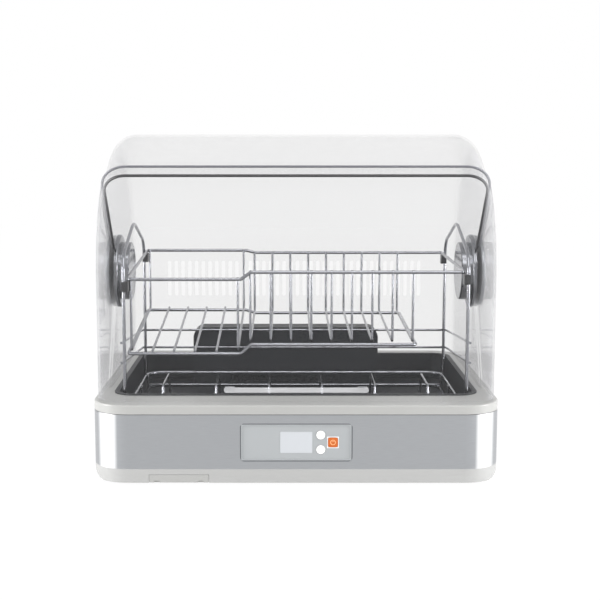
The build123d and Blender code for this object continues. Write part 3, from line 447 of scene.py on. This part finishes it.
def hood_outline(radius, half_width, corner, low, steps=18):
    """Half-turned outline (x, reach): up the left side, round its corner, across, and down the right side."""
    turn = np.linspace(0, np.pi / 2, steps)
    left_x = -half_width + corner - corner * np.cos(turn)
    left_r = radius - corner + corner * np.sin(turn)
    x = np.concatenate([[-half_width], left_x, -left_x[::-1], [half_width]])
    r = np.concatenate([[low], left_r, left_r[::-1], [low]])
    return x, r


def edge_path(angle, radius, half_width, corner, low):
    """The hood's outline laid in the slanted plane at an angle over the forward horizontal."""
    x, r = hood_outline(radius, half_width, corner, low)
    slope = np.radians(angle)
    return np.stack([x, -r * np.cos(slope), pivot_z + r * np.sin(slope)], axis=1)


# %% Seals
SEAL_PROUD = 0.6 * MM


def edge_seal(name, body, angle, radius, half_width, corner, width):
    """A seal that caps the cut edge of one hood sheet, a little proud of both its faces."""
    slope = np.radians(angle)
    normal_up = np.array([0.0, np.sin(slope), np.cos(slope)])
    half = WALL / 2
    path = edge_path(angle, radius - half, half_width - half, corner - half, HUB_RADIUS)
    path -= normal_up * (width / 2 - SEAL_PROUD / 2)
    piece = surface(name, carried(path, width, WALL + SEAL_PROUD, normal_up), body)
    return piece


seal = moulded("seal_dark", "#1B1B1E", 0.4)
edge_grey = moulded("seal_grey", "#6F7076", 0.35)
door_sheet = (DOOR_TOP_ANGLE, door_radius, door_half_width, DOOR_CORNER)
shell_sheet = (SHELL_TOP_ANGLE, shell_radius, shell_half_width, shell_corner)
dress(edge_grey, edge_seal("door_edge_seal", "door", *door_sheet, 1.6 * MM))
dress(seal, edge_seal("shell_edge_seal", "cabinet", *shell_sheet, 3.0 * MM))

# %% [markdown]
# ## The seam under the rim
# A thin dark line shows between the steel band and the rim. It is the shadow gap of the joint, painted here as a
# narrow dark strip of shadow that follows the base's rounded outline.


# %% Base seam
def base_outline(half_width, half_depth, corner, height, steps=14):
    """A rounded rectangle at one height: four straight sides joined by quarter circles, closed on itself."""
    turn = np.linspace(0, np.pi / 2, steps)
    corners = [(1, 1, 0), (-1, 1, 1), (-1, -1, 2), (1, -1, 3)]
    xs = [sx * (half_width - corner) + corner * np.cos(turn + k * np.pi / 2) for sx, sy, k in corners]
    ys = [sy * (half_depth - corner) + corner * np.sin(turn + k * np.pi / 2) for sx, sy, k in corners]
    x = np.concatenate(xs + [xs[0][:1]])
    y = np.concatenate(ys + [ys[0][:1]])
    return np.stack([x, y, np.full_like(x, height)], axis=1)


def ring_section(path, wide, thick, around=10):
    """A section carried round a level closed path, with the seam's first and last rows set alike."""
    rows = carried(path, wide, thick, np.array([0.0, 0.0, 1.0]), around)
    rows[0] = rows[-1] = (rows[0] + rows[-1]) / 2
    return rows


SEAM_INSET = 0.55 * MM
SEAM_HEIGHT = 0.55 * MM
SEAM_DEPTH = 0.7 * MM
seam_z = band_high[2] + 0.3 * MM
seam_half_width, seam_half_depth = band_high[:2] - SEAM_INSET
seam_path = base_outline(seam_half_width, seam_half_depth, BASE_CORNER - SEAM_INSET, seam_z)
# The dark strip is painted shadow: it stands for the shadow gap of the joint, in the dark seal finish.
seam = surface("rim_seam_shadow_strip", ring_section(seam_path, SEAM_HEIGHT, SEAM_DEPTH), "cabinet", closed=False)
dress(seal, seam)

# %% [markdown]
# ## Room, floor and light
# The photograph was cut out on white. A pale floor and a white world give that, with one soft lamp over the front
# and a low one at each side.

# %% Floor and world
SEEN_RAYS = ("Is Camera Ray", "Is Glossy Ray", "Is Transmission Ray")


def ray_share(finish_nodes, links):
    """1 where a ray comes from the camera, a mirror or a clear sheet, otherwise 0."""
    path_node = finish_nodes.new("ShaderNodeLightPath")
    total = None
    for ray in SEEN_RAYS:
        if total is None:
            total = path_node.outputs[ray]
            continue
        largest = finish_nodes.new("ShaderNodeMath")
        largest.operation = "MAXIMUM"
        links.new(total, largest.inputs[0])
        links.new(path_node.outputs[ray], largest.inputs[1])
        total = largest.outputs[0]
    return total


world = bpy.data.worlds.new("studio")
world.use_nodes = True
bpy.context.scene.world = world
tree = world.node_tree
plain = tree.nodes["Background"]
plain.inputs["Color"].default_value = (1, 1, 1, 1)
plain.inputs["Strength"].default_value = 0.62
white = tree.nodes.new("ShaderNodeBackground")
white.inputs["Color"].default_value = (1, 1, 1, 1)
white.inputs["Strength"].default_value = 1.0
mix = tree.nodes.new("ShaderNodeMixShader")
tree.links.new(ray_share(tree.nodes, tree.links), mix.inputs[0])
tree.links.new(plain.outputs[0], mix.inputs[1])
tree.links.new(white.outputs[0], mix.inputs[2])
tree.links.new(mix.outputs[0], tree.nodes["World Output"].inputs["Surface"])

floor_mesh = bpy.data.meshes.new("floor")
FLOOR_HALF = 4.0
corners = [(x * FLOOR_HALF, y * FLOOR_HALF, 0) for x, y in ((-1, -1), (1, -1), (1, 1), (-1, 1))]
floor_mesh.from_pydata(corners, [], [(0, 1, 2, 3)])
floor = bpy.data.objects.new("floor", floor_mesh)
bpy.context.collection.objects.link(floor)
floor_finish = Finish("floor_white")
floor_finish.set(Base_Color=(0.86, 0.86, 0.86, 1), Roughness=0.9)
floor_finish.surface.inputs["Specular IOR Level"].default_value = 0.0
glow = floor_finish.node("Emission", {}, {"Color": (1, 1, 1, 1), "Strength": 1.03})
floor_share = Value(floor_finish, ray_share(floor_finish.tree.nodes, floor_finish.tree.links)) * 0.94
floor_mix = floor_finish.node("MixShader", {}, {0: floor_share, 2: glow})
floor_finish.tree.links.new(floor_finish.surface.outputs[0], floor_mix.socket.node.inputs[1])
floor_finish.tree.links.new(floor_mix.socket, floor_finish.output.inputs["Surface"])
floor_mesh.materials.append(floor_finish.material)
print("floor and world ready")


# %% Lamps
def lamp(name, place, aim, size, power):
    """A soft square lamp that faces a point."""
    data = bpy.data.lights.new(name, "AREA")
    data.size = size
    data.energy = power
    made = bpy.data.objects.new(name, data)
    made.location = place
    made.rotation_euler = (Vector(aim) - Vector(place)).to_track_quat("-Z", "Y").to_euler()
    bpy.context.collection.objects.link(made)
    return made


lamp("key", (0.2, -1.1, 1.6), (0, 0, 0.2), 1.2, 16)
lamp("left_fill", (-1.2, -0.45, 0.3), (0, 0, 0.15), 0.5, 14)
lamp("right_fill", (1.2, -0.45, 0.3), (0, 0, 0.15), 0.5, 14)
bpy.context.scene.view_settings.view_transform = "Standard"
